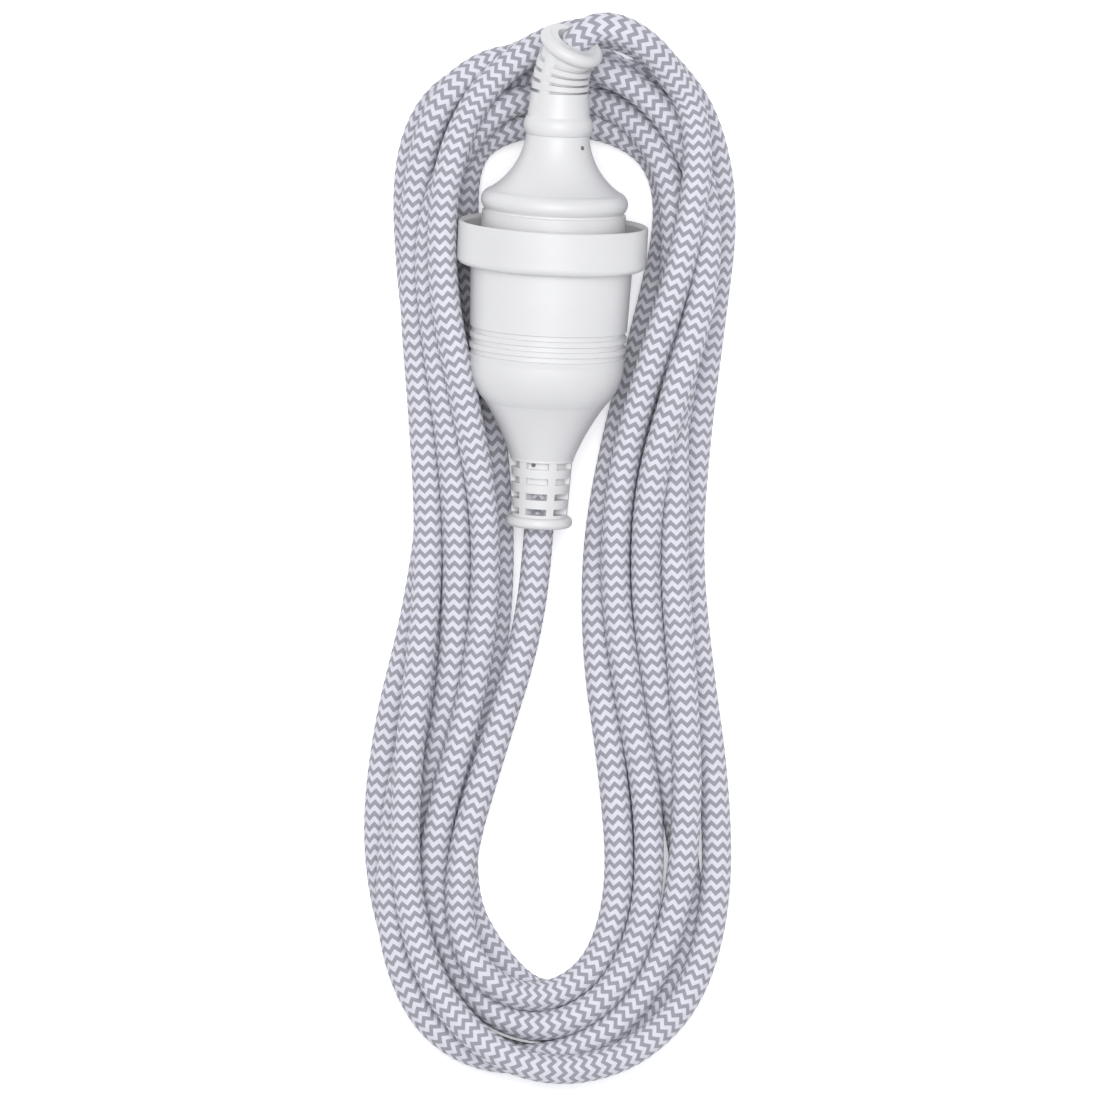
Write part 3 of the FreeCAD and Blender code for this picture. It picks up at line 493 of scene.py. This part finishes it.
def braid(name, line, start, end, joined_start=False, joined_end=False):
    """A braided tube from start to end along the line, whose faces follow the zigzags.

    The rings bend with the pattern, so each band of colour is whole faces. A joined end, at a
    whole number of periods, keeps the pattern's edge, so that the next piece fits it. The other
    ends are flat rings. Each end is closed with a disc.
    """
    places, radii, band, distances = braid_rings(start, end, joined_start, joined_end)
    rows = len(places)
    mesh = bpy.data.meshes.new(name)
    mesh.from_pydata(braid_vertices(line, places, radii).tolist(), [], braid_faces(rows))
    mesh.materials.append(YARN_WHITE)
    mesh.materials.append(YARN_GREY)
    grey = np.isin(band[: rows - 1], GREY_ROWS).astype(np.int32)
    slots = np.r_[np.repeat(grey, RING), 0, 0].astype(np.int32)
    mesh.polygons.foreach_set("material_index", slots)
    mesh.polygons.foreach_set("use_smooth", np.ones(len(mesh.polygons), bool))
    map_braid(mesh, distances)
    mesh.update()
    stops = np.r_[start, np.arange(start + PATH_STEP, end - PATH_STEP / 2, PATH_STEP), end]
    return place(name, mesh), line.at(stops)[0]


def lay_cord():
    """The cord, in two pieces that meet end to end on the right side of the turns."""
    line = Line(spline_points("route", ROUTE_MM))
    below = np.flatnonzero(line.points[:, 1] < SPLIT_Y_MM * MM)
    split = round(line.along[below[0]] / PERIOD) * PERIOD
    lead, lead_path = braid("plug_end_of_cord", line, 0.0, split, joined_end=True)
    turns, turns_path = braid("cord_turns", line, split, line.length, joined_start=True)
    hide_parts("plug_lead")
    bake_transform(lead)
    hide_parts("cord_hank", "socket_lead")
    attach(turns, "socket")


# ---------------------------------------------------------------- small marks
PIN_MARK_RADIUS = 0.5 * MM
PIN_MARK_SIDES = 20
# Across the mark from its skirt in the moulding to its middle: reach and height, in radii
PIN_MARK_PROFILE = [(1.25, -0.25), (1.15, 0.16), (0.95, 0.20), (0.80, 0.12), (0.45, 0.07)]


def pin_mark(name, body, spot, outward):
    """The small round that an ejector pin leaves in a moulding: a raised rim round a dish."""
    side = outward.orthogonal().normalized()
    up = outward.cross(side)
    shape = bmesh.new()
    rings = []
    for reach, height in PIN_MARK_PROFILE:
        ring = []
        for k in range(PIN_MARK_SIDES):
            angle = 2 * math.pi * k / PIN_MARK_SIDES
            around = side * math.cos(angle) + up * math.sin(angle)
            foot = spot + around * reach * PIN_MARK_RADIUS
            ring.append(shape.verts.new(foot + outward * height * PIN_MARK_RADIUS))
        rings.append(ring)
    for outer, inner in zip(rings, rings[1:]):
        for k in range(PIN_MARK_SIDES):
            after = (k + 1) % PIN_MARK_SIDES
            shape.faces.new((outer[k], outer[after], inner[after], inner[k]))
    shape.faces.new(rings[-1])
    shape.faces.new(rings[0][::-1])
    mesh = bpy.data.meshes.new(name)
    shape.to_mesh(mesh)
    shape.free()
    for polygon in mesh.polygons:
        polygon.use_smooth = True
    mesh.materials.append(MARK)
    piece = place(name, mesh)
    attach(piece, body)


ABOVE_EVERYTHING = 0.2


def surface_above(node, x, y):
    """The highest point of a CAD node over x, y, and its outward direction there."""
    shape = frame["nodes"][node]
    hit, spot, normal, _ = shape.ray_cast(Vector((x, y, ABOVE_EVERYTHING)), Vector((0, 0, -1)))
    if not hit:
        raise ValueError(f"nothing of {node} lies at {x:.4f}, {y:.4f}")
    return spot, normal


def mark_mouldings():
    spot, outward = surface_above("plug_housing", *metres(6.5, 34.0))
    pin_mark("plug_pin_mark", "plug", spot, outward)
    spot, outward = surface_above("socket_boot", *metres(-2.1, -47.9))
    pin_mark("socket_pin_mark", "socket", spot, outward)


# ---------------------------------------------------------------- floor, light, camera
FLOOR_HALF = 3.0
FLOOR_GAP = 0.15 * MM  # under the lowest point of the CAD
FLOOR_GRAIN = 600.0  # noise scale, per metre
FLOOR_GLOW = 0.30  # keeps the paper white where the object's own soft shadow falls


def lay_floor():
    """A plain pale floor just under the object, large enough to fill every view."""
    shape = bmesh.new()
    low = min(0.0, cad_low.z) - FLOOR_GAP
    corners = [(-FLOOR_HALF, -FLOOR_HALF), (FLOOR_HALF, -FLOOR_HALF)]
    corners += [(FLOOR_HALF, FLOOR_HALF), (-FLOOR_HALF, FLOOR_HALF)]
    shape.faces.new([shape.verts.new((x, y, low)) for x, y in corners])
    mesh = bpy.data.meshes.new("floor")
    shape.to_mesh(mesh)
    shape.free()
    material, tree, shader = principled("floor paper")
    grain = noise(tree, object_space(tree), FLOOR_GRAIN)
    paper = ramp(tree, grain, (0.925, 0.925, 0.93), (0.95, 0.95, 0.955))
    tree.links.new(paper, shader.inputs["Base Color"])
    tree.links.new(spread(tree, grain, 0.85, 0.95), shader.inputs["Roughness"])
    shader.inputs["Specular IOR Level"].default_value = 0.1
    shader.inputs["Emission Color"].default_value = (1.0, 1.0, 1.0, 1.0)
    shader.inputs["Emission Strength"].default_value = FLOOR_GLOW
    mesh.materials.append(material)
    place("floor", mesh)


def soft_light(name, spot, size, power):
    """A square soft box at spot from the middle of the object, aimed at it."""
    lamp = bpy.data.lights.new(name, "AREA")
    lamp.shape = "SQUARE"
    lamp.size = size
    lamp.energy = power
    holder = place(name, lamp)
    holder.location = (cad_low + cad_high) / 2 + Vector(spot)
    holder.rotation_mode = "QUATERNION"
    holder.rotation_quaternion = (-Vector(spot)).to_track_quat("-Z", "Y")


SKY_LOW, SKY_HIGH = (0.28, 0.285, 0.30), (0.60, 0.61, 0.63)
SKY_START, SKY_END = 0.05, 0.8  # heights, as a share of the way up, between which it brightens


def set_light():
    world = bpy.data.worlds.new("studio")
    world.use_nodes = True
    tree = world.node_tree
    background = tree.nodes["Background"]
    background.inputs["Strength"].default_value = 1.0
    way = add(tree, "ShaderNodeTexCoord").outputs["Generated"]
    height = add(tree, "ShaderNodeSeparateXYZ")
    tree.links.new(way, height.inputs["Vector"])
    dome = ramp(tree, height.outputs["Z"], SKY_LOW, SKY_HIGH, SKY_START, SKY_END)
    tree.links.new(dome, background.inputs["Color"])
    bpy.context.scene.world = world
    soft_light("key", (-0.15, 0.25, 1.5), 1.0, 10.0)
    soft_light("overhead", (0.12, 0.12, 1.55), 0.8, 8.8)
    scene = bpy.context.scene
    scene.view_settings.view_transform = "Standard"
    scene.view_settings.look = "None"


SENSOR_MM = 36.0
FOCAL_LENGTH_MM = 377.6
CAMERA_HEIGHT = 3.0
CAMERA_OVER = metres(3.23, -69.58)  # the point straight under the camera
CAMERA_ROLL = math.radians(2.8)


def set_camera():
    """Straight above the object, turned a little about the line of sight."""
    lens = bpy.data.cameras.new("camera")
    lens.sensor_width = SENSOR_MM
    lens.lens = FOCAL_LENGTH_MM
    lens.clip_start = 0.1
    lens.clip_end = 20.0
    camera = place("camera", lens)
    camera.location = (*CAMERA_OVER, CAMERA_HEIGHT)
    camera.rotation_euler = (0.0, 0.0, CAMERA_ROLL)
    bpy.context.scene.camera = camera


set_camera()
dress_cad_nodes()
lay_cord()
mark_mouldings()
lay_floor()
set_light()
